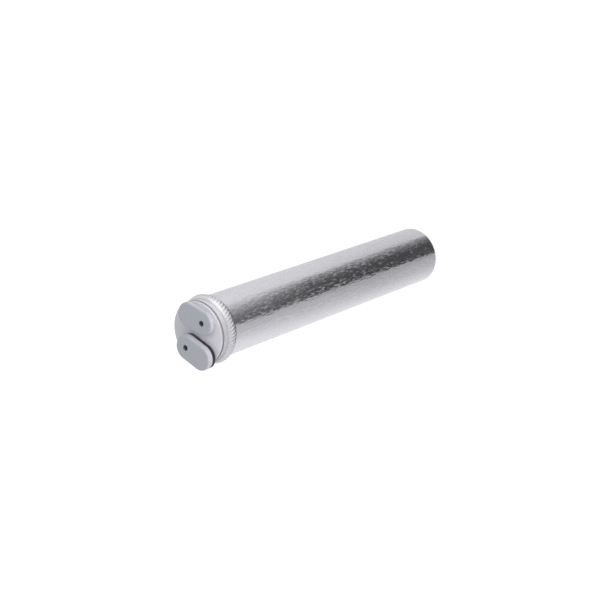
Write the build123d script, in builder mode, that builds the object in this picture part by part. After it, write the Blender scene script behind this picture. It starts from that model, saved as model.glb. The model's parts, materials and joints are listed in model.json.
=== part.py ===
from build123d import *
from math import asin, cos, degrees, hypot, radians, sin
import os

# Filter drier (receiver drier) of an air-conditioning circuit, in millimetres.
# The part stands on its closed end: +Z runs along the can's axis up to the header,
# and the origin is the centre of the flat closed end.

os.makedirs("parts", exist_ok=True)

# can: drawn tube with a flat closed end
can_od = 60.0
can_wall = 2.5
can_floor = 4.0
can_edge_r = 1.8
can_edge_flats = 3
can_len = 336.0

# header: turned block with a spigot that enters the can
flange_h = 14.0
spigot_h = 8.0
spigot_gap = 0.05
rim_lip_h = 1.3
rim_chamfer = 0.5
rim_groove_w = 2.2
rim_groove_depth = 0.8
weld_depth = 1.0

# weld bead: slanted ripples laid round the joint, on a low band
bead_w = 10.5
bead_h = 3.2
bead_toe_h = 0.6
ripple_span = 9.0
ripple_sink = 0.3
ripple_count = 60
ripple_slant = 20.0
ripple_flats = 4
ripple_thick = 3.75
ripple_rise = 0.55
ripple_slope = 1.8

# ports: counterbore, pilot bore and a tapped hole for the pipe block's screw.
# An inset runs from the can's inner wall to the port's axis, so the ports follow the can.
port_seat_r = 7.25
port_seat_depth = 6.0
port_pilot_r = 4.5
tap_r = 2.5
tap_depth = 15.0
tap_pitch = 14.0
inlet_inset = 11.24
inlet_azimuth = 102.2
inlet_angle = -15.0
outlet_inset = 7.75
outlet_azimuth = -71.5
outlet_angle = 158.5

# transit caps
cap_len = 42.0
cap_w = 24.0
cap_port_offset = 5.0
cap_t = 5.4
cap_edge = 1.6
cap_edge_break = 0.5
cap_screw_r = 2.75
plug_len = 5.2
plug_gap = 0.08
plug_wall = 2.6
plug_ring_d = 1.5
plug_ring_z = 2.2
seal_t = 4.0
seal_inset = 0.2

# pickup tube
tube_r = 4.0
tube_wall = 1.0
tube_seat_lift = 2.0
tube_floor_gap = 4.0

# inner stack
wall_gap = 0.3
stand_h = 15.0
stand_wall = 1.2
stand_windows = 6
stand_window_w = 12.0
plate_t = 1.5
plate_hole_r = 3.6
plate_inner_inset = 19.2
plate_inner_holes = 3
plate_outer_inset = 7.7
plate_outer_holes = 6
plate_margin = 1.5
screen_t = 0.5
pad_t = 10.0
grommet_lip = 0.9
grommet_wall = 1.2
grommet_gap = 0.05
foot_wall = 1.2
foot_h = 9.0
foot_slots = 6
foot_slot_w = 2.0
spring_h = 22.0
spring_span = 36.0
spring_w = 12.0
spring_t = 0.8
spring_foot = 4.0

can_r = can_od / 2
can_ir = can_r - can_wall
face_z = can_len + flange_h
under_z = can_len - spigot_h


def step_from(point, angle, distance):
    """Point at a distance from another one, in the direction of an angle."""
    return (
        point[0] + distance * cos(radians(angle)),
        point[1] + distance * sin(radians(angle)),
    )


inlet_port = step_from((0, 0), inlet_azimuth, can_ir - inlet_inset)
inlet_tap = step_from(inlet_port, inlet_angle, tap_pitch)
outlet_port = step_from((0, 0), outlet_azimuth, can_ir - outlet_inset)
outlet_tap = step_from(outlet_port, outlet_angle, tap_pitch)
tube_at = outlet_port

# can, with the small radius of its closed end laid in flats
edge_turns = [radians(90 * i / can_edge_flats) for i in range(can_edge_flats + 1)]
can_edge = [
    (can_r - can_edge_r * (1 - sin(turn)), can_edge_r * (1 - cos(turn)))
    for turn in edge_turns
]
with BuildPart() as can:
    with BuildSketch(Plane.XZ):
        with BuildLine():
            Polyline(
                (0, 0),
                *can_edge,
                (can_r, can_len - bead_w / 2),
                (can_r - weld_depth, can_len - bead_w / 2),
                (can_r - weld_depth, can_len),
                (can_ir, can_len),
                (can_ir, can_floor),
                (0, can_floor),
                close=True,
            )
        make_face()
    revolve(axis=Axis.Z)
can.part.label = "can"
export_step(can.part, "parts/can.step")

# header: lip, groove behind the lip, weld groove and spigot
spigot_r = can_ir - spigot_gap
groove_top = face_z - rim_lip_h
groove_low = groove_top - rim_groove_w
with BuildPart() as header:
    with BuildSketch(Plane.XZ):
        with BuildLine():
            Polyline(
                (0, face_z),
                (can_r - rim_chamfer, face_z),
                (can_r, face_z - rim_chamfer),
                (can_r, groove_top),
                (can_r - rim_groove_depth, groove_top),
                (can_r - rim_groove_depth, groove_low),
                (can_r, groove_low),
                (can_r, can_len + bead_w / 2),
                (can_r - weld_depth, can_len + bead_w / 2),
                (can_r - weld_depth, can_len),
                (spigot_r, can_len),
                (spigot_r, under_z),
                (0, under_z),
                close=True,
            )
        make_face()
    revolve(axis=Axis.Z)
    with Locations(Plane.XY.offset(face_z)):
        with Locations(inlet_port, outlet_port):
            Hole(port_seat_r, port_seat_depth)
        with Locations(inlet_tap, outlet_tap):
            Hole(tap_r, tap_depth)
        with Locations(inlet_port):
            Hole(port_pilot_r, flange_h + spigot_h)
        with Locations(outlet_port):
            Hole(port_pilot_r, flange_h - tube_seat_lift)
            Hole(tube_r, flange_h + spigot_h)
header.part.label = "header"
export_step(header.part, "parts/header.step")

# weld bead: slanted ripples that overlap like shingles, on a band that fills the joint
toe_r = can_r + bead_toe_h
ripple_h = bead_h - bead_toe_h + ripple_sink
arc_r = ((ripple_span / 2) ** 2 + ripple_h**2) / (2 * ripple_h)
arc_centre = can_r + bead_h - arc_r
arc_half = degrees(asin(ripple_span / 2 / arc_r))
flat_turn = 2 * arc_half / ripple_flats
ripple_edge = [
    (arc_r * cos(radians(turn)), arc_r * sin(radians(turn)))
    for turn in (i * flat_turn - arc_half for i in range(ripple_flats + 1))
]
with BuildPart() as ripple:
    with BuildSketch(Plane.XY):
        with BuildLine():
            Polyline(*ripple_edge, close=True)
        make_face()
    extrude(amount=ripple_thick / 2, both=True)
    front = ripple.faces().sort_by(Axis.Z)[-1]
    crest = front.edges().sort_by(SortBy.LENGTH)[:ripple_flats]
    chamfer(crest, ripple_rise, ripple_slope, reference=front)
with BuildPart() as weld_bead:
    with BuildSketch(Plane.XZ):
        with Locations((toe_r, can_len)):
            Rectangle(weld_depth + bead_toe_h, bead_w, align=(Align.MAX, Align.CENTER))
    revolve(axis=Axis.Z)
    with Locations((0, 0, can_len)):
        with PolarLocations(arc_centre, ripple_count):
            with Locations(Rotation(ripple_slant - 90, 0, 0)):
                add(ripple.part)
weld_bead.part.label = "weld_bead"
export_step(weld_bead.part, "parts/weld_bead.step")


def transit_cap(base_z, port, tap, angle):
    """Stadium plate with a screw hole and a hollow grooved plug under it."""
    centre = step_from(port, angle, cap_port_offset)
    plug_r = port_seat_r - plug_gap
    with BuildPart() as cap:
        with BuildSketch(Plane.XY.offset(base_z)):
            with Locations(centre):
                SlotOverall(cap_len, cap_w, rotation=angle)
        extrude(amount=cap_t)
        for inset, drop in ((cap_edge_break, cap_edge), (cap_edge - cap_edge_break, cap_edge_break)):
            top = cap.faces().sort_by(Axis.Z)[-1]
            chamfer(top.edges(), inset, drop, reference=top)
        with BuildSketch(Plane.XY.offset(base_z - plug_len)):
            with Locations(port):
                Circle(plug_r)
        extrude(amount=plug_len)
        with BuildSketch(Plane.XY.offset(base_z - plug_len)):
            with Locations(port):
                Circle(plug_r - plug_wall)
        extrude(amount=plug_len, mode=Mode.SUBTRACT)
        with BuildSketch(Plane.XY.offset(base_z - plug_ring_z - plug_ring_d / 2)):
            with Locations(port):
                Circle(port_seat_r)
                Circle(port_seat_r - plug_gap / 2 - plug_ring_d, mode=Mode.SUBTRACT)
        extrude(amount=plug_ring_d, mode=Mode.SUBTRACT)
        with BuildSketch(Plane.XY.offset(base_z)):
            with Locations(tap):
                Circle(cap_screw_r)
        extrude(amount=cap_t, mode=Mode.SUBTRACT)
    return cap.part


def plug_ring(base_z, port):
    """Square-cut ring seated in the groove of a cap's plug."""
    ring_r = port_seat_r - plug_gap / 2
    with BuildPart() as ring:
        with BuildSketch(Plane.XY.offset(base_z - plug_ring_z - plug_ring_d / 2)):
            with Locations(port):
                Circle(ring_r)
                Circle(ring_r - plug_ring_d, mode=Mode.SUBTRACT)
        extrude(amount=plug_ring_d)
    return ring.part


# inlet cap lies on the header face, the outlet cap on its rubber seal
inlet_cap = transit_cap(face_z, inlet_port, inlet_tap, inlet_angle)
inlet_cap.label = "inlet_cap"
export_step(inlet_cap, "parts/inlet_cap.step")

outlet_cap = transit_cap(face_z + seal_t, outlet_port, outlet_tap, outlet_angle)
outlet_cap.label = "outlet_cap"
export_step(outlet_cap, "parts/outlet_cap.step")

inlet_cap_ring = plug_ring(face_z, inlet_port)
inlet_cap_ring.label = "inlet_cap_ring"
export_step(inlet_cap_ring, "parts/inlet_cap_ring.step")

outlet_cap_ring = plug_ring(face_z + seal_t, outlet_port)
outlet_cap_ring.label = "outlet_cap_ring"
export_step(outlet_cap_ring, "parts/outlet_cap_ring.step")

with BuildPart() as outlet_seal:
    with BuildSketch(Plane.XY.offset(face_z)):
        with Locations(step_from(outlet_port, outlet_angle, cap_port_offset)):
            SlotOverall(cap_len - 2 * seal_inset, cap_w - 2 * seal_inset, rotation=outlet_angle)
        with Locations(outlet_port):
            Circle(port_seat_r, mode=Mode.SUBTRACT)
        with Locations(outlet_tap):
            Circle(cap_screw_r, mode=Mode.SUBTRACT)
    extrude(amount=seal_t)
outlet_seal.part.label = "outlet_seal"
export_step(outlet_seal.part, "parts/outlet_seal.step")

# pickup tube: from the bottom of the outlet port down to the sump under the plates
tube_top = can_len + tube_seat_lift
tube_low = can_floor + tube_floor_gap
with BuildPart() as pickup_tube:
    with BuildSketch(Plane.XY.offset(tube_low)):
        with Locations(tube_at):
            Circle(tube_r)
            Circle(tube_r - tube_wall, mode=Mode.SUBTRACT)
    extrude(amount=tube_top - tube_low)
pickup_tube.part.label = "pickup_tube"
export_step(pickup_tube.part, "parts/pickup_tube.step")

# slotted foot pushed over the lower end of the tube
foot_r = tube_r + foot_wall
with BuildPart() as tube_foot:
    with BuildSketch(Plane.XY.offset(can_floor)):
        with Locations(tube_at):
            Circle(foot_r)
            Circle(tube_r, mode=Mode.SUBTRACT)
    extrude(amount=foot_h)
    with BuildSketch(Plane.XY.offset(can_floor)):
        with Locations(tube_at):
            with PolarLocations(0, foot_slots // 2, angular_range=180):
                Rectangle(3 * foot_r, foot_slot_w)
    extrude(amount=tube_floor_gap, mode=Mode.SUBTRACT)
tube_foot.part.label = "tube_foot"
export_step(tube_foot.part, "parts/tube_foot.step")

# inner stack, from the floor up
stack_r = can_ir - wall_gap
lower_plate_z = can_floor + stand_h
lower_screen_z = lower_plate_z + plate_t
lower_pad_z = lower_screen_z + screen_t
bed_z = lower_pad_z + pad_t
upper_plate_z = under_z - spring_h - plate_t
upper_screen_z = upper_plate_z - screen_t
upper_pad_z = upper_screen_z - pad_t
grommet_r = tube_r + grommet_wall

with BuildPart() as plate_stand:
    with BuildSketch(Plane.XY.offset(can_floor)):
        Circle(stack_r)
        Circle(stack_r - stand_wall, mode=Mode.SUBTRACT)
    extrude(amount=stand_h)
    with BuildSketch(Plane.XY.offset(can_floor + stand_h / 4)):
        with PolarLocations(0, stand_windows // 2, angular_range=180):
            Rectangle(3 * stack_r, stand_window_w)
    extrude(amount=stand_h / 2, mode=Mode.SUBTRACT)
plate_stand.part.label = "plate_stand"
export_step(plate_stand.part, "parts/plate_stand.step")


def perforated_plate(base_z):
    """Stamped disc with rings of holes, left out where the tube's grommet passes."""
    clear = grommet_r + plate_hole_r + plate_margin
    rings = [
        PolarLocations(stack_r - plate_inner_inset, plate_inner_holes),
        PolarLocations(stack_r - plate_outer_inset, plate_outer_holes),
    ]
    with BuildPart() as plate:
        with BuildSketch(Plane.XY.offset(base_z)):
            Circle(stack_r)
            with Locations(tube_at):
                Circle(grommet_r, mode=Mode.SUBTRACT)
            for ring in rings:
                for location in ring:
                    spot = location.position
                    if hypot(spot.X - tube_at[0], spot.Y - tube_at[1]) > clear:
                        with Locations(spot):
                            Circle(plate_hole_r, mode=Mode.SUBTRACT)
        extrude(amount=plate_t)
    return plate.part


def stack_disc(base_z, height, hole_r):
    """Plain disc of the inner stack with a round hole for the tube."""
    with BuildPart() as disc:
        with BuildSketch(Plane.XY.offset(base_z)):
            Circle(stack_r)
            with Locations(tube_at):
                Circle(hole_r, mode=Mode.SUBTRACT)
        extrude(amount=height)
    return disc.part


def grommet(base_z, side):
    """Rubber sleeve in a plate's tube hole, with a lip on the open side of the plate."""
    lip_z = base_z + plate_t if side > 0 else base_z - grommet_lip
    with BuildPart() as sleeve:
        with BuildSketch(Plane.XY.offset(base_z)):
            with Locations(tube_at):
                Circle(grommet_r - grommet_gap)
                Circle(tube_r + grommet_gap, mode=Mode.SUBTRACT)
        extrude(amount=plate_t)
        with BuildSketch(Plane.XY.offset(lip_z)):
            with Locations(tube_at):
                Circle(grommet_r + grommet_lip)
                Circle(tube_r + grommet_gap, mode=Mode.SUBTRACT)
        extrude(amount=grommet_lip)
    return sleeve.part


stack = {
    "lower_plate": perforated_plate(lower_plate_z),
    "lower_grommet": grommet(lower_plate_z, -1),
    "lower_screen": stack_disc(lower_screen_z, screen_t, tube_r + wall_gap),
    "lower_pad": stack_disc(lower_pad_z, pad_t, tube_r + wall_gap),
    "desiccant_bed": stack_disc(bed_z, upper_pad_z - bed_z, tube_r + wall_gap),
    "upper_pad": stack_disc(upper_pad_z, pad_t, tube_r + wall_gap),
    "upper_screen": stack_disc(upper_screen_z, screen_t, tube_r + wall_gap),
    "upper_plate": perforated_plate(upper_plate_z),
    "upper_grommet": grommet(upper_plate_z, 1),
}
for name, piece in stack.items():
    piece.label = name
    export_step(piece, f"parts/{name}.step")

# leaf spring: a bent strip standing on the upper plate, its crown under the header
spring_z = upper_plate_z + plate_t
arch_rise = spring_h - spring_t
arch_r = ((spring_span / 2) ** 2 + arch_rise**2) / (2 * arch_rise)
arch_z = under_z - spring_t / 2 - arch_r
foot_x = (spring_span + spring_foot) / 2
with BuildPart() as spring:
    with BuildSketch(Plane.XZ):
        with Locations((0, arch_z)):
            Circle(arch_r + spring_t / 2)
            Circle(arch_r - spring_t / 2, mode=Mode.SUBTRACT)
        with Locations((0, spring_z - arch_r)):
            Rectangle(4 * arch_r, 2 * arch_r, mode=Mode.SUBTRACT)
        with Locations(*((x, spring_z + spring_t / 2) for x in (-foot_x, foot_x))):
            Rectangle(spring_foot + spring_t, spring_t)
    extrude(amount=spring_w / 2, both=True)
spring.part.label = "spring"
export_step(spring.part, "parts/spring.step")
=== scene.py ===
import json
import math

import bpy
from mathutils import Euler, Matrix, Vector


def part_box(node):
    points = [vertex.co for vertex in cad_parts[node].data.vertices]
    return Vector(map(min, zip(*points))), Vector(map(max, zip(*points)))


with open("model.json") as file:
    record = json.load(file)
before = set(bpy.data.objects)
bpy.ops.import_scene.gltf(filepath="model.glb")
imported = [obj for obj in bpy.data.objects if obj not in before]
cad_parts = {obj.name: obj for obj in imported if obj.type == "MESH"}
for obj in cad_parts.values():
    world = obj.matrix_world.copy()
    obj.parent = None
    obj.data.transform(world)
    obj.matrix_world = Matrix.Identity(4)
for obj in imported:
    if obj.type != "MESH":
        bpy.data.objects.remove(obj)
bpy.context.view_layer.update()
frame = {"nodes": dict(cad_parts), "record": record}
nodes = frame["nodes"]
scene = bpy.context.scene

# ---- places on the object, worked out from the frame ------------------------
CAN_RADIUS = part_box("can")[1].x
HEADER_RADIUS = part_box("header")[1].x
RIM_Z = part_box("header")[1].z
BEAD_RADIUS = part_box("weld_bead")[1].x
BEAD_LOW, BEAD_HIGH = (corner.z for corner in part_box("weld_bead"))
BEAD_MIDDLE = (BEAD_LOW + BEAD_HIGH) / 2
SCREWS = [
    mount["pos_m"][:2]
    for mount in frame["record"]["mounts"]
    if mount["name"] in ("inlet_screw", "outlet_screw")
]
HOLE_SHADE_RADIUS = 0.00278  # a hair over the caps' 2.75 mm hole, so that its wall is inside
RIPPLE_COUNT = 60.0
RIPPLE_LEAN = math.radians(20)

# ---- camera, fitted to the photo: metres, degrees and millimetres -----------
CAMERA_AT = (0.81299, 0.39428, 1.20342)
CAMERA_TILT = -17.1572  # about X
CAMERA_TURN = 39.0325  # about Y, after the tilt
CAMERA_AZIMUTH = 25.84  # about where it stands round the can
LENS_MM = 81.0
SENSOR_MM = 36.0
CLIP_NEAR, CLIP_FAR = 0.05, 50.0

# ---- floor, world and cards -------------------------------------------------
BACKGROUND = (1.0, 0.998, 1.0)
WORLD_LIGHT = 0.8
WORLD_WHITE = (1.0, 1.0, 1.0)
AIM = (0.0, 0.0, 0.34)  # in the header: the lamps and the front card face it
FLOOR_SIZE = 12.0
FLOOR_Z = -0.0002
FLOOR_GREY = (0.8, 0.8, 0.8)
FLOOR_GLOW = 0.4  # added for the camera, which then sees white except close round the object
FLOOR_MIRRORED = 0.3  # added for reflections
CARD_COLOUR = (0.975, 0.965, 1.0)
CARD_Z = 0.0001
CARD_FOOT = CAN_RADIUS + 0.0001
FLAG_DISTANCE = 2.2
FLAG_HEIGHT = 3.0
FLAG_SHADE = 0.15

# The floor card's shade by the can's azimuth in degrees, at three heights on the can. The stops were
# chosen so that the can mirrors the bright and dark bands that the photo shows.
FOOT_ROW = (
    (-64.0, 1.00), (-50.0, 0.92), (-40.0, 0.88), (-30.0, 0.80), (-20.0, 0.71), (-10.0, 0.60),
    (0.0, 0.53), (8.0, 0.49), (15.0, 0.46), (15.8, 0.085), (20.0, 0.075), (38.0, 0.08),
    (45.0, 0.145), (50.0, 0.235), (54.5, 0.30), (58.5, 0.66), (62.0, 0.70), (95.0, 0.73),
    (116.0, 0.67),
)
MIDDLE_ROW = (
    (-64.0, 1.00), (-50.0, 0.92), (-40.0, 0.90), (-30.0, 0.86), (-20.0, 0.78), (-10.0, 0.65),
    (0.0, 0.575), (8.0, 0.54), (15.0, 0.53), (15.8, 0.09), (20.0, 0.08), (36.0, 0.10),
    (45.0, 0.165), (50.0, 0.32), (54.5, 0.42), (58.5, 0.76), (62.0, 0.80), (95.0, 0.80),
    (116.0, 0.68),
)
HEADER_ROW = (
    (-64.0, 1.00), (-50.0, 0.92), (-40.0, 0.93), (-30.0, 0.94), (-20.0, 0.90), (-10.0, 0.78),
    (0.0, 0.64), (8.0, 0.60), (15.0, 0.58), (15.8, 0.18), (20.0, 0.17), (27.0, 0.20),
    (35.0, 0.31), (45.0, 0.52), (50.0, 0.72), (54.0, 0.72), (58.0, 0.88), (95.0, 0.78),
    (116.0, 0.67),
)
# metres along a spoke of the card, and the row of shades there
CARD_ROWS = {
    0.0: FOOT_ROW,
    0.08: FOOT_ROW,
    0.19: MIDDLE_ROW,
    0.33: HEADER_ROW,
    0.8: HEADER_ROW,
    5.5: HEADER_ROW,
}
EVEN_TURNS = range(-64, 117, 2)  # azimuths that have a spoke beside those of the stops

# ---- materials --------------------------------------------------------------
NOISE_SPAN = (0.3, 0.7)  # the part of 0 to 1 that a noise texture mostly fills
RISE, FALL = (0.0, 1.0), (1.0, 0.0)


class Shader:
    """A Principled material whose nodes are added by name, in object coordinates."""

    def __init__(self, name):
        self.material = bpy.data.materials.new(name)
        self.material.use_nodes = True
        self.tree = self.material.node_tree
        self.bsdf = self.tree.nodes["Principled BSDF"]
        self.coords = self.node("ShaderNodeTexCoord").outputs["Object"]

    def node(self, kind, **settings):
        made = self.tree.nodes.new(kind)
        for key, value in settings.items():
            setattr(made, key, value)
        return made

    def link(self, source, target):
        self.tree.links.new(source, target)

    def math(self, operation, *values):
        made = self.node("ShaderNodeMath", operation=operation)
        for socket, value in zip(made.inputs, values):
            if isinstance(value, (int, float)):
                socket.default_value = value
            else:
                self.link(value, socket)
        return made.outputs[0]

    def noise(self, scale, detail=2.0, roughness=0.5, vector=None):
        made = self.node("ShaderNodeTexNoise", noise_dimensions="3D")
        made.inputs["Scale"].default_value = scale
        made.inputs["Detail"].default_value = detail
        made.inputs["Roughness"].default_value = roughness
        self.link(vector or self.coords, made.inputs["Vector"])
        return made.outputs["Fac"]

    def stretched(self, scale):
        """Object coordinates times a scale, so that a texture is drawn out where it is under 1."""
        made = self.node("ShaderNodeMapping")
        made.inputs["Scale"].default_value = scale
        self.link(self.coords, made.inputs["Vector"])
        return made.outputs["Vector"]

    def axis(self, name):
        made = self.node("ShaderNodeSeparateXYZ")
        self.link(self.coords, made.inputs[0])
        return made.outputs[name]

    def facing_up(self):
        """Z of the piece's own surface normal: 1 on a level top, 0 on an upright side."""
        made = self.node("ShaderNodeSeparateXYZ")
        self.link(self.node("ShaderNodeTexCoord").outputs["Normal"], made.inputs[0])
        return made.outputs["Z"]

    def azimuth(self):
        """Angle about the can's axis, in radians."""
        return self.math("ARCTAN2", self.axis("Y"), self.axis("X"))

    def radius(self):
        """Distance from the can's axis."""
        across = self.math("MULTIPLY", self.axis("X"), self.axis("X"))
        return self.math("SQRT", self.math("MULTIPLY_ADD", self.axis("Y"), self.axis("Y"), across))

    def near(self, x, y, distance):
        """1 inside an upright round column about (x, y)."""
        dx = self.math("SUBTRACT", self.axis("X"), x)
        dy = self.math("SUBTRACT", self.axis("Y"), y)
        across = self.math("MULTIPLY_ADD", dy, dy, self.math("MULTIPLY", dx, dx))
        return self.math("LESS_THAN", across, distance * distance)

    def inside(self, value, low, high):
        """1 where the value lies between two limits."""
        above = self.math("GREATER_THAN", value, low)
        return self.math("MULTIPLY", above, self.math("LESS_THAN", value, high))

    def spread(self, value, span=NOISE_SPAN, onto=RISE):
        """One span of the value laid onto another, and held at its ends."""
        made = self.node("ShaderNodeMapRange", clamp=True)
        for key, number in zip(("From Min", "From Max", "To Min", "To Max"), (*span, *onto)):
            made.inputs[key].default_value = number
        self.link(value, made.inputs["Value"])
        return made.outputs["Result"]

    def window(self, value, rising, falling, least=0.0):
        """Goes up from the least to 1 over one span and back down over another."""
        up = self.spread(value, rising, (least, 1.0))
        return self.math("MULTIPLY", up, self.spread(value, falling, (1.0, least)))

    def blend(self, factor, first, second):
        made = self.node("ShaderNodeMix", data_type="RGBA")
        self.link(factor, made.inputs["Factor"])
        for socket, colour in ((made.inputs["A"], first), (made.inputs["B"], second)):
            if isinstance(colour, tuple):
                socket.default_value = (*colour, 1.0)
            else:
                self.link(colour, socket)
        return made.outputs["Result"]

    def bump(self, height, distance, below=None):
        made = self.node("ShaderNodeBump")
        made.inputs["Distance"].default_value = distance
        self.link(height, made.inputs["Height"])
        if below is not None:
            self.link(below, made.inputs["Normal"])
        return made.outputs["Normal"]

    def finish(self, colour, roughness, normal, metal=0.0):
        self.link(colour, self.bsdf.inputs["Base Color"])
        self.link(roughness, self.bsdf.inputs["Roughness"])
        self.link(normal, self.bsdf.inputs["Normal"])
        self.bsdf.inputs["Metallic"].default_value = metal
        return self.material


def can_finish():
    """Drawn aluminium: polished skin broken by small matt flecks drawn out along the can. The
    shade of the strip beside the bead is painted."""
    darker_skin, paler_skin = (0.74, 0.74, 0.76), (0.84, 0.84, 0.86)
    shade_beside_bead = (0.24, 0.23, 0.25)
    beside_bead = (BEAD_LOW - 0.00135, BEAD_LOW - 0.00035)
    patch_weight = 0.26
    paler_span, matt_span = (0.36, 0.66), (0.42, 0.66)
    polished_to_matt = (0.08, 0.52)
    s = Shader("can_aluminium")
    along = s.stretched((1.0, 1.0, 0.24))
    flecks = s.noise(660.0, detail=2.0, roughness=0.55, vector=along)
    dents = s.noise(430.0, detail=1.0, vector=along)
    patches = s.math("SUBTRACT", s.noise(55.0, vector=along), 0.5)
    mixed = s.math("ADD", flecks, s.math("MULTIPLY", patches, patch_weight))
    skin = s.blend(s.spread(mixed, paler_span), darker_skin, paler_skin)
    return s.finish(
        colour=s.blend(s.spread(s.axis("Z"), beside_bead), skin, shade_beside_bead),
        roughness=s.spread(mixed, matt_span, polished_to_matt),
        normal=s.bump(s.noise(25.0), distance=0.00008, below=s.bump(dents, distance=0.00022)),
        metal=1.0,
    )


def header_finish():
    """Turned aluminium: matt lavender-grey face and a darker, greyer side, both with painted light
    that makes them paler toward one end, and a painted shadow in the groove."""
    darker_face = (0.53, 0.525, 0.58), (0.56, 0.555, 0.61)
    face_painted_lit = (0.64, 0.625, 0.685), (0.68, 0.665, 0.725)
    darker_side = (0.395, 0.39, 0.42), (0.435, 0.43, 0.46)
    side_painted_lit = (0.54, 0.535, 0.56), (0.58, 0.575, 0.60)
    groove_shade = (0.30, 0.295, 0.315)
    face_lit_span_x, side_lit_span_y = (-0.016, 0.004), (0.006, 0.026)
    rim_edge = (RIM_Z - 0.0006, RIM_Z - 0.00015)
    groove = (RIM_Z - 0.0037, RIM_Z - 0.0012)
    groove_wall = HEADER_RADIUS - 0.00025
    s = Shader("header_aluminium")
    clouds = s.noise(70.0)
    vary = s.spread(clouds)
    # painted light: the face pales toward +X and the side toward +Y
    face = s.blend(
        s.spread(s.axis("X"), face_lit_span_x), s.blend(vary, *darker_face), s.blend(vary, *face_painted_lit)
    )
    side = s.blend(
        s.spread(s.axis("Y"), side_lit_span_y), s.blend(vary, *darker_side), s.blend(vary, *side_painted_lit)
    )
    height = s.axis("Z")
    skin = s.blend(s.spread(height, rim_edge), side, face)
    behind_wall = s.math("LESS_THAN", s.radius(), groove_wall)
    in_groove = s.math("MULTIPLY", s.inside(height, *groove), behind_wall)
    return s.finish(
        colour=s.blend(in_groove, skin, groove_shade),
        roughness=s.spread(clouds, onto=(0.42, 0.52)),
        normal=s.bump(s.noise(900.0, detail=3.0), distance=0.00001),
        metal=0.15,
    )


def weld_finish():
    """Weld bead: satin grey metal, with shade painted between the ripples and on the lower flank, and
    a painted highlight over one stretch of azimuth. Weld bead: satin grey metal, with shade painted
    between the ripples and on the lower flank, and a brighter stretch where the photo's highlight is."""
    duller = (0.61, 0.605, 0.635), (0.67, 0.665, 0.695)
    painted_highlight_greys = (0.76, 0.755, 0.78), (0.84, 0.835, 0.86)
    stroke_shade, lower_shade = (0.29, 0.285, 0.30), (0.17, 0.165, 0.18)
    stroke_middle = BEAD_MIDDLE - 0.0003
    crest = (BEAD_MIDDLE + 0.0010, BEAD_MIDDLE + 0.0035)
    lower_flank = (BEAD_MIDDLE - 0.0034, BEAD_MIDDLE - 0.0014)
    highlight_rises, highlight_falls = (0.5, 0.9), (1.15, 1.5)
    strokes_from, strokes_to, faintest = (-0.6, -0.1), (0.9, 1.4), 0.25
    turns_per_metre = RIPPLE_COUNT * math.tan(RIPPLE_LEAN) / BEAD_RADIUS
    s = Shader("weld_aluminium")
    grain = s.noise(500.0, detail=3.0)
    vary = s.spread(grain)
    turn = s.azimuth()
    height = s.axis("Z")
    # painted highlight: paler greys over one stretch of azimuth
    highlight = s.window(turn, highlight_rises, highlight_falls)
    bead = s.blend(highlight, s.blend(vary, *duller), s.blend(vary, *painted_highlight_greys))
    slant = s.math("MULTIPLY", s.math("SUBTRACT", height, stroke_middle), turns_per_metre)
    wave = s.math("COSINE", s.math("ADD", s.math("MULTIPLY", turn, RIPPLE_COUNT), slant))
    seen = s.math(
        "MULTIPLY", s.spread(height, crest, FALL), s.window(turn, strokes_from, strokes_to, faintest)
    )
    stroke = s.math("MULTIPLY", s.spread(wave, (0.0, 0.8)), seen)
    bead = s.blend(stroke, bead, stroke_shade)
    return s.finish(
        colour=s.blend(s.spread(height, lower_flank, FALL), bead, lower_shade),
        roughness=s.spread(grain, onto=(0.40, 0.50)),
        normal=s.bump(grain, distance=0.000005),
        metal=0.6,
    )


def cap_finish():
    """Grey plastic, with painted light making the side a little paler than the top, and painted shade
    in the screw hole.
    """
    top_greys = (0.362, 0.384, 0.418), (0.392, 0.414, 0.451)
    side_painted_light_greys = (0.43, 0.425, 0.47), (0.46, 0.455, 0.50)
    hole_shade = (0.16, 0.165, 0.18)
    side_to_top = (0.6, 0.95)
    s = Shader("cap_plastic")
    grain = s.noise(300.0, detail=4.0, roughness=0.6)
    vary = s.spread(grain)
    top, side = s.blend(vary, *top_greys), s.blend(vary, *side_painted_light_greys)
    # painted light: the upright side gets paler greys than the top
    skin = s.blend(s.spread(s.facing_up(), side_to_top), side, top)
    # painted shade: the screw hole is coloured dark
    in_hole = s.math("MAXIMUM", *(s.near(x, y, HOLE_SHADE_RADIUS) for x, y in SCREWS))
    return s.finish(
        colour=s.blend(in_hole, skin, hole_shade),
        roughness=s.spread(grain, onto=(0.45, 0.55)),
        normal=s.bump(grain, distance=0.00002),
    )


def rubber_finish():
    """Black rubber, painted a paler grey toward -X, where the seal shows as a grey line."""
    blacks = (0.012, 0.012, 0.014), (0.03, 0.03, 0.034)
    paler_grey = (0.12, 0.12, 0.132)
    black_from_x = (-0.012, 0.005)
    s = Shader("black_rubber")
    grain = s.noise(900.0, detail=4.0, roughness=0.6)
    rubber = s.blend(s.spread(grain), *blacks)
    return s.finish(
        # painted paler grey toward -X
        colour=s.blend(s.spread(s.axis("X"), black_from_x, FALL), rubber, paler_grey),
        roughness=s.spread(grain, onto=(0.5, 0.7)),
        normal=s.bump(grain, distance=0.00005),
    )


def mottled(name, dark, light, scale, rough, depth, metal=0.0):
    """Finish of a piece inside the can: colour, roughness and bump from noise."""
    cloud_scale = 0.4 * scale
    s = Shader(name)
    grain = s.noise(scale, detail=4.0, roughness=0.6)
    return s.finish(
        colour=s.blend(s.spread(grain), dark, light),
        roughness=s.spread(s.noise(cloud_scale), onto=rough),
        normal=s.bump(grain, depth),
        metal=metal,
    )


def tube_finish():
    """Drawn aluminium of the pickup tube."""
    dark, light = (0.66, 0.66, 0.67), (0.75, 0.75, 0.76)
    return mottled("tube_aluminium", dark, light, 300.0, rough=(0.25, 0.35), depth=0.00002, metal=1.0)


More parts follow.
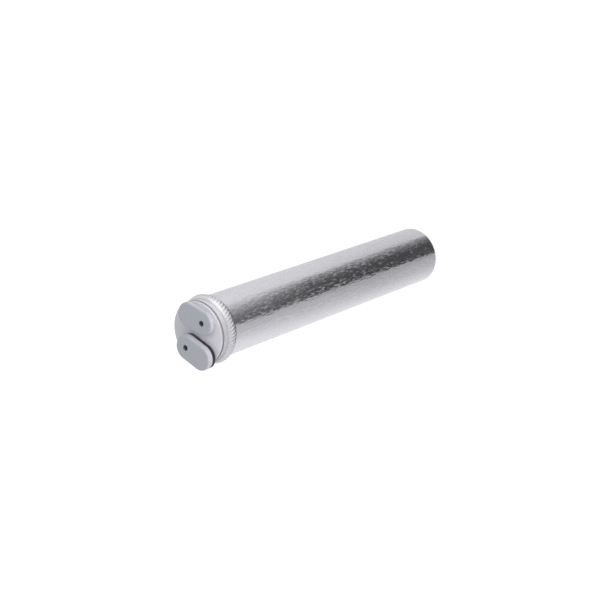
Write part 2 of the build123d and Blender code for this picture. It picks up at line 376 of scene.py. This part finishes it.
def foot_finish():
    """White plastic of the tube's foot."""
    dark, light = (0.74, 0.74, 0.71), (0.80, 0.80, 0.77)
    return mottled("white_plastic", dark, light, 300.0, rough=(0.4, 0.5), depth=0.00002)


def plate_finish():
    """Stamped steel of the stand and the plates."""
    dark, light = (0.42, 0.42, 0.43), (0.52, 0.52, 0.53)
    return mottled("plate_steel", dark, light, 250.0, rough=(0.3, 0.42), depth=0.00002, metal=1.0)


def screen_finish():
    """Fine steel mesh of the screens."""
    dark, light = (0.35, 0.35, 0.36), (0.5, 0.5, 0.5)
    return mottled("screen_steel", dark, light, 1200.0, rough=(0.3, 0.45), depth=0.0001, metal=1.0)


def felt_finish():
    """Cream felt of the filter pads."""
    dark, light = (0.70, 0.69, 0.64), (0.82, 0.81, 0.77)
    return mottled("filter_felt", dark, light, 1500.0, rough=(0.85, 0.95), depth=0.0003)


def desiccant_finish():
    """Tan beads of the desiccant bed, which is one solid."""
    dark, light = (0.50, 0.42, 0.33), (0.72, 0.64, 0.54)
    return mottled("desiccant", dark, light, 700.0, rough=(0.8, 0.9), depth=0.0004)


def spring_finish():
    """Spring steel."""
    dark, light = (0.30, 0.30, 0.32), (0.42, 0.42, 0.44)
    return mottled("spring_steel", dark, light, 300.0, rough=(0.25, 0.38), depth=0.00002, metal=1.0)


FINISHES = {
    "can_aluminium": can_finish,
    "header_aluminium": header_finish,
    "weld_aluminium": weld_finish,
    "cap_plastic": cap_finish,
    "black_rubber": rubber_finish,
    "tube_aluminium": tube_finish,
    "white_plastic": foot_finish,
    "plate_steel": plate_finish,
    "screen_steel": screen_finish,
    "filter_felt": felt_finish,
    "desiccant": desiccant_finish,
    "spring_steel": spring_finish,
}

slots = {part["node"]: part["material_slot"] for part in frame["record"]["subparts"]}
finished = {}
for node_name, node in nodes.items():
    slot = slots[node_name]
    if slot not in finished:
        finished[slot] = FINISHES[slot]()
    node.data.materials.clear()
    node.data.materials.append(finished[slot])


# ---- stage ------------------------------------------------------------------
def mesh_object(name, verts, faces):
    """New object in the scene, with its own mesh."""
    mesh = bpy.data.meshes.new(name)
    mesh.from_pydata(verts, [], faces)
    made = bpy.data.objects.new(name, mesh)
    scene.collection.objects.link(made)
    return made


def bare_material(name):
    """New material, its node tree and the tree's only node, the output."""
    paint = bpy.data.materials.new(name)
    paint.use_nodes = True
    paint.node_tree.nodes.clear()
    return paint, paint.node_tree, paint.node_tree.nodes.new("ShaderNodeOutputMaterial")


def seen_directly(tree, to_camera=1.0, to_mirrors=1.0):
    """Strength for rays that see the plain background, straight or mirrored, and 0 for the rays
    that light the object."""
    path = tree.nodes.new("ShaderNodeLightPath")
    total = None
    for kind, strength in (
        ("Is Camera Ray", to_camera),
        ("Is Glossy Ray", to_mirrors),
        ("Is Transmission Ray", to_mirrors),
    ):
        share = tree.nodes.new("ShaderNodeMath")
        share.operation = "MULTIPLY"
        share.inputs[1].default_value = strength
        tree.links.new(path.outputs[kind], share.inputs[0])
        if total is None:
            total = share.outputs[0]
            continue
        most = tree.nodes.new("ShaderNodeMath")
        most.operation = "MAXIMUM"
        tree.links.new(total, most.inputs[0])
        tree.links.new(share.outputs[0], most.inputs[1])
        total = most.outputs[0]
    return total


def lay_floor():
    """Diffuse floor that keeps the object's shadow, with a glow added for direct and mirrored
    views."""
    half = FLOOR_SIZE / 2
    corners = [(-half, -half), (half, -half), (half, half), (-half, half)]
    floor = mesh_object("floor", [(x, y, FLOOR_Z) for x, y in corners], [(0, 1, 2, 3)])
    paint, tree, out = bare_material("floor_paint")
    diffuse = tree.nodes.new("ShaderNodeBsdfDiffuse")
    diffuse.inputs["Color"].default_value = (*FLOOR_GREY, 1.0)
    glow = tree.nodes.new("ShaderNodeEmission")
    glow.inputs["Color"].default_value = (*BACKGROUND, 1.0)
    tree.links.new(seen_directly(tree, FLOOR_GLOW, FLOOR_MIRRORED), glow.inputs["Strength"])
    add = tree.nodes.new("ShaderNodeAddShader")
    tree.links.new(diffuse.outputs["BSDF"], add.inputs[0])
    tree.links.new(glow.outputs["Emission"], add.inputs[1])
    tree.links.new(add.outputs["Shader"], out.inputs["Surface"])
    floor.data.materials.append(paint)


def glossy_only(obj):
    """A card or flag of the studio that shows in reflections alone."""
    obj.visible_camera = False
    obj.visible_diffuse = False
    obj.visible_shadow = False
    obj.visible_transmission = False


def card(name, verts, faces, shades):
    """Glowing card whose shade is stored at each of its points."""
    made = mesh_object(name, verts, faces)
    layer = made.data.attributes.new("shade", "FLOAT", "POINT")
    layer.data.foreach_set("value", shades)
    paint, tree, out = bare_material(name + "_paint")
    shade = tree.nodes.new("ShaderNodeAttribute")
    shade.attribute_name = "shade"
    glow = tree.nodes.new("ShaderNodeEmission")
    glow.inputs["Color"].default_value = (*CARD_COLOUR, 1.0)
    tree.links.new(shade.outputs["Fac"], glow.inputs["Strength"])
    tree.links.new(glow.outputs["Emission"], out.inputs["Surface"])
    made.data.materials.append(paint)
    glossy_only(made)


def shade_at(row, turn):
    """Shade of a row of stops at an azimuth, on straight lines between them."""
    (a, low), (b, high) = next(pair for pair in zip(row, row[1:]) if turn <= pair[1][0])
    return low + (high - low) * (turn - a) / (b - a)


def floor_card():
    """Card lying round the foot of the can. Each spoke leaves the can at one azimuth in the
    direction in which a mirror there shows the floor to the camera, so the card's shade follows
    the can's azimuth, and its distance from the foot follows the height on the can."""
    stops = {stop[0] for row in CARD_ROWS.values() for stop in row}
    turns = sorted(stops | set(EVEN_TURNS))
    verts, shades = [], []
    for turn in turns:
        at = math.radians(turn)
        out = math.radians(2 * turn - CAMERA_AZIMUTH)
        for distance, row in CARD_ROWS.items():
            x = CARD_FOOT * math.cos(at) + distance * math.cos(out)
            y = CARD_FOOT * math.sin(at) + distance * math.sin(out)
            verts.append((x, y, CARD_Z))
            shades.append(shade_at(row, turn))
    n = len(CARD_ROWS)
    count = len(verts)
    faces = [
        (k, k + 1, (k + n + 1) % count, (k + n) % count)
        for i in range(len(turns))
        for k in range(i * n, i * n + n - 1)
    ]
    card("floor_card", verts, faces, shades)


def front_card(centre, radius, shade, sides=24):
    """Round dim card beside the camera. It does little: it takes about one level in 255 off the
    near side of the bead."""
    centre = Vector(centre)
    facing = (centre - Vector(AIM)).normalized().to_track_quat("Z", "Y")
    verts = [tuple(centre)]
    for i in range(sides):
        angle = 2 * math.pi * i / sides
        edge = Vector((radius * math.cos(angle), radius * math.sin(angle), 0))
        verts.append(tuple(centre + facing @ edge))
    faces = [(0, i + 1, (i + 1) % sides + 1) for i in range(sides)]
    card("front_card", verts, faces, [shade] * len(verts))


def flag(name, azimuth, width):
    """Standing dark strip, so that the polished can has dark streaks from the other sides too."""
    turn = math.radians(azimuth)
    x, y = FLAG_DISTANCE * math.cos(turn), FLAG_DISTANCE * math.sin(turn)
    dx, dy = -math.sin(turn) * width / 2, math.cos(turn) * width / 2
    left, right = (x - dx, y - dy), (x + dx, y + dy)
    verts = [(*left, 0.0), (*right, 0.0), (*right, FLAG_HEIGHT), (*left, FLAG_HEIGHT)]
    card(name, verts, [(0, 1, 2, 3)], [FLAG_SHADE] * len(verts))


def light_world():
    """Soft white light from all round, and the plain background for direct and mirrored views."""
    world = bpy.data.worlds.new("studio")
    scene.world = world
    world.use_nodes = True
    tree = world.node_tree
    tree.nodes.clear()
    out = tree.nodes.new("ShaderNodeOutputWorld")
    sky = tree.nodes.new("ShaderNodeBackground")
    sky.inputs["Color"].default_value = (*WORLD_WHITE, 1.0)
    sky.inputs["Strength"].default_value = WORLD_LIGHT
    plain = tree.nodes.new("ShaderNodeBackground")
    plain.inputs["Color"].default_value = (*BACKGROUND, 1.0)
    plain.inputs["Strength"].default_value = 1.0
    choice = tree.nodes.new("ShaderNodeMixShader")
    tree.links.new(seen_directly(tree), choice.inputs["Fac"])
    tree.links.new(sky.outputs["Background"], choice.inputs[1])
    tree.links.new(plain.outputs["Background"], choice.inputs[2])
    tree.links.new(choice.outputs["Shader"], out.inputs["Surface"])


def softbox(name, at, side, watts, mirrored=True):
    """Square lamp that faces the header."""
    data = bpy.data.lights.new(name, "AREA")
    data.shape = "SQUARE"
    data.size = side
    data.energy = watts
    lamp = bpy.data.objects.new(name, data)
    lamp.location = at
    lamp.rotation_mode = "QUATERNION"
    lamp.rotation_quaternion = (Vector(AIM) - Vector(at)).to_track_quat("-Z", "Y")
    lamp.visible_glossy = mirrored
    scene.collection.objects.link(lamp)


def place_camera():
    """Camera at the photograph's viewing angle."""
    data = bpy.data.cameras.new("photo_camera")
    data.lens = LENS_MM
    data.sensor_width = SENSOR_MM
    data.clip_start = CLIP_NEAR
    data.clip_end = CLIP_FAR
    camera = bpy.data.objects.new("photo_camera", data)
    turned = Euler((math.radians(CAMERA_TILT), math.radians(CAMERA_TURN), 0.0))
    camera.matrix_world = Matrix.LocRotScale(Vector(CAMERA_AT), turned, None)
    scene.collection.objects.link(camera)
    scene.camera = camera


lay_floor()
floor_card()
front_card(centre=(0.78, 0.22, 0.98), radius=0.36, shade=0.42)
flag("flag_left", azimuth=100.0, width=0.9)
flag("flag_back", azimuth=205.0, width=1.1)
flag("flag_right", azimuth=320.0, width=0.9)
light_world()
softbox("key", at=(0.2, 1.0, 0.95), side=1.2, watts=3.8)
softbox("fill", at=(1.25, 0.3, 0.36), side=0.6, watts=9.0, mirrored=False)
place_camera()
scene.view_settings.view_transform = "Standard"
